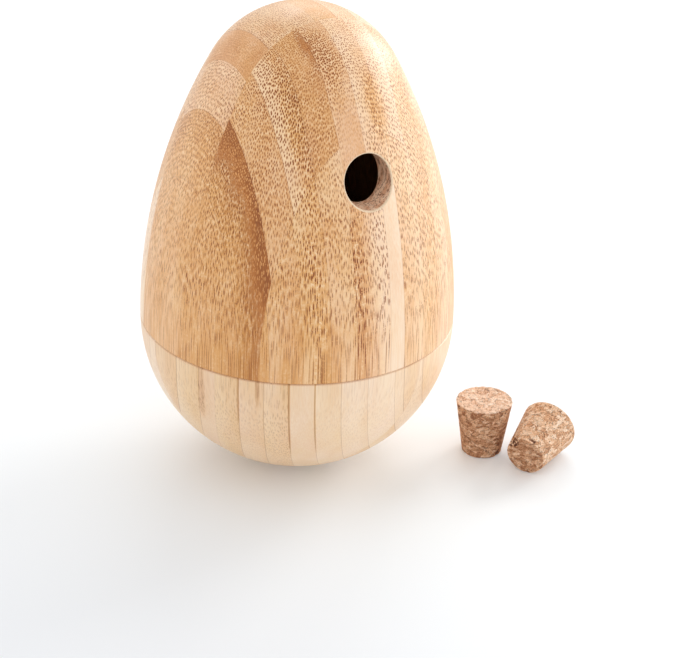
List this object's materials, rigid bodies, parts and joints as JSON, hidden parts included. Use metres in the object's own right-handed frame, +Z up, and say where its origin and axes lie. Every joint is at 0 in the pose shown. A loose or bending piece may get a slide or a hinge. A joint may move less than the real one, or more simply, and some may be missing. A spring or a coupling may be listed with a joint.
{
  "type": "wobble treat dispenser",
  "caption": "Weighted egg-shaped bamboo treat dispenser that parts at its widest line, with treat holes in its sides and tapered cork stoppers taken off and lying beside it.",
  "frame": {"origin": "middle of the small flat that the egg stands on", "axes": "+Z up along the egg's axis, -Y out of the treat hole that the picture shows, +X towards the side where the stoppers lie"},
  "size_m": [0.1267, 0.1071, 0.1525],
  "materials": {
    "bamboo_caramel": "satin",
    "bamboo_pale": "satin",
    "silicone": "satin",
    "steel": "satin",
    "cork": "matte"
  },
  "bodies": {
    "base": {"base_cup": "bamboo_pale", "seal_ring": "silicone", "ballast_weight": "steel", "weight_cover": "bamboo_pale", "stopper_standing": "cork", "stopper_lying": "cork"},
    "shell": {"upper_shell": "bamboo_caramel"}
  },
  "joints": [
    {"name": "shell_lift", "type": "slide", "parent": "base", "child": "shell", "axis": [0, 0, 1], "range_m": [0, 0.06]}
  ]
}
